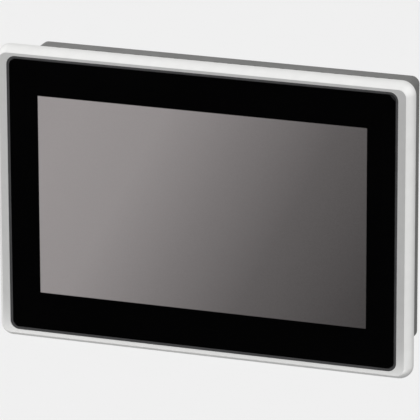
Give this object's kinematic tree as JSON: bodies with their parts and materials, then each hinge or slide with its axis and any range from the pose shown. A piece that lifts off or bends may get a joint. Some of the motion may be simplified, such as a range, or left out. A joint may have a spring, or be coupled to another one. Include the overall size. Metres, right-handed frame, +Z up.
{
  "type": "hmi touch panel",
  "caption": "Panel-mounted operator terminal: black glass touch front in a satin aluminium frame, steel rear housing with air slots, and plug-in power, network, serial, USB and card ports.",
  "frame": {"origin": "centre of the front frame on its rear face, the plane that seats on the control panel", "axes": "+X to the right seen from the front, +Y to the rear through the panel cutout, +Z up"},
  "size_m": [0.1934, 0.0396, 0.1393],
  "materials": {
    "frame_aluminium": "satin, fine blasted die-casting",
    "black_glass": "gloss, printed black round the picture area",
    "seal_rubber": "matt dark grey seal",
    "gasket_rubber": "matt black foam rubber",
    "black_tape": "matt black acrylic tape",
    "sensor_glass": "clear thin glass",
    "flex_film": "amber polyimide film",
    "board_green": "green solder mask",
    "display_steel": "thin bright steel",
    "lcd_glass": "dark polarised glass",
    "film_white": "matt white film",
    "guide_acrylic": "clear acrylic",
    "white_plastic": "matt white moulding",
    "housing_steel": "zinc-coated sheet, satin grey",
    "chassis_steel": "zinc-coated sheet",
    "screw_steel": "bright zinc plating",
    "chip_black": "matt moulding compound",
    "pad_pink": "soft silicone pad",
    "sink_aluminium": "dark anodised extrusion",
    "can_aluminium": "bright can",
    "black_plastic": "matt black moulding",
    "contact_gold": "gold flash",
    "connector_steel": "nickel-plated shell",
    "terminal_green": "green nylon",
    "selector_red": "red moulding",
    "button_grey": "dark grey moulding",
    "light_pipe": "clear polycarbonate",
    "stud_brass": "plain brass",
    "plate_foil": "satin foil plate, left blank",
    "cell_steel": "nickel-plated can"
  },
  "bodies": {
    "unit": {"front_frame": "frame_aluminium", "cover_glass": "black_glass", "glass_seal": "seal_rubber", "glass_adhesive": "black_tape", "panel_gasket": "gasket_rubber", "touch_sensor": "sensor_glass", "touch_flex": "flex_film", "touch_board": "board_green", "display_bezel": "display_steel", "lcd_cell": "lcd_glass", "diffuser_films": "film_white", "light_guide": "guide_acrylic", "backlight_strip": "board_green", "display_tray": "white_plastic", "display_flex": "flex_film", "chassis_plate": "chassis_steel", "chassis_screws": "screw_steel", "board_standoffs": "screw_steel", "board_screws": "screw_steel", "housing_pillars": "screw_steel", "rear_housing": "housing_steel", "housing_screws": "screw_steel", "type_plate": "plate_foil", "main_board": "board_green", "display_connector": "white_plastic", "processor": "chip_black", "thermal_pad": "pad_pink", "heat_sink": "sink_aluminium", "memory_chips": "chip_black", "capacitors": "can_aluminium", "battery_holder": "black_plastic", "coin_cell": "cell_steel", "ethernet_socket": "connector_steel", "ethernet_contacts": "contact_gold", "usb_shell": "connector_steel", "usb_tongue": "white_plastic", "serial_shell": "connector_steel", "serial_insert": "black_plastic", "serial_contacts": "contact_gold", "serial_jack_nuts": "screw_steel", "power_header": "terminal_green", "power_pins": "connector_steel", "card_socket": "connector_steel", "button_switch": "black_plastic", "selector_body": "selector_red", "status_light": "light_pipe", "earth_stud": "stud_brass", "earth_nut": "screw_steel"},
    "power_plug": {"power_plug": "terminal_green", "plug_contacts": "contact_gold"},
    "clamp_screw_left": {"clamp_screw_left": "screw_steel"},
    "clamp_screw_middle": {"clamp_screw_middle": "screw_steel"},
    "clamp_screw_right": {"clamp_screw_right": "screw_steel"},
    "clamp_cage_left": {"clamp_cage_left": "connector_steel"},
    "clamp_cage_middle": {"clamp_cage_middle": "connector_steel"},
    "clamp_cage_right": {"clamp_cage_right": "connector_steel"},
    "control_button": {"control_button": "button_grey"},
    "selector_slider_1": {"selector_slider_1": "white_plastic"},
    "selector_slider_2": {"selector_slider_2": "white_plastic"}
  },
  "joints": [
    {"name": "power_plug_pull", "type": "slide", "parent": "unit", "child": "power_plug", "axis": [0, 0, -1], "range_m": [0, 0.012]},
    {"name": "clamp_screw_left_turn", "type": "hinge", "parent": "power_plug", "child": "clamp_screw_left", "pos_m": [-0.07108, 0.0176, -0.06628], "axis": [0, -1, 0], "range_deg": [0, 1008]},
    {"name": "clamp_cage_left_rise", "type": "slide", "parent": "power_plug", "child": "clamp_cage_left", "axis": [0, 1, 0], "range_m": [0, 0.0014]},
    {"name": "clamp_screw_middle_turn", "type": "hinge", "parent": "power_plug", "child": "clamp_screw_middle", "pos_m": [-0.066, 0.0176, -0.06628], "axis": [0, -1, 0], "range_deg": [0, 1008]},
    {"name": "clamp_cage_middle_rise", "type": "slide", "parent": "power_plug", "child": "clamp_cage_middle", "axis": [0, 1, 0], "range_m": [0, 0.0014]},
    {"name": "clamp_screw_right_turn", "type": "hinge", "parent": "power_plug", "child": "clamp_screw_right", "pos_m": [-0.06092, 0.0176, -0.06628], "axis": [0, -1, 0], "range_deg": [0, 1008]},
    {"name": "clamp_cage_right_rise", "type": "slide", "parent": "power_plug", "child": "clamp_cage_right", "axis": [0, 1, 0], "range_m": [0, 0.0014]},
    {"name": "control_button_press", "type": "slide", "parent": "unit", "child": "control_button", "axis": [0, 0, 1], "range_m": [0, 0.0005], "stiffness_N_per_m": 1500, "springref_m": -0.0003},
    {"name": "selector_slider_1_shift", "type": "slide", "parent": "unit", "child": "selector_slider_1", "axis": [0, 1, 0], "range_m": [0, 0.0016]},
    {"name": "selector_slider_2_shift", "type": "slide", "parent": "unit", "child": "selector_slider_2", "axis": [0, 1, 0], "range_m": [0, 0.0016]}
  ],
  "couplings": [
    {"joint": "clamp_screw_left_turn", "follows": "clamp_cage_left_rise", "rad_per_m": 12566},
    {"joint": "clamp_screw_middle_turn", "follows": "clamp_cage_middle_rise", "rad_per_m": 12566},
    {"joint": "clamp_screw_right_turn", "follows": "clamp_cage_right_rise", "rad_per_m": 12566}
  ]
}
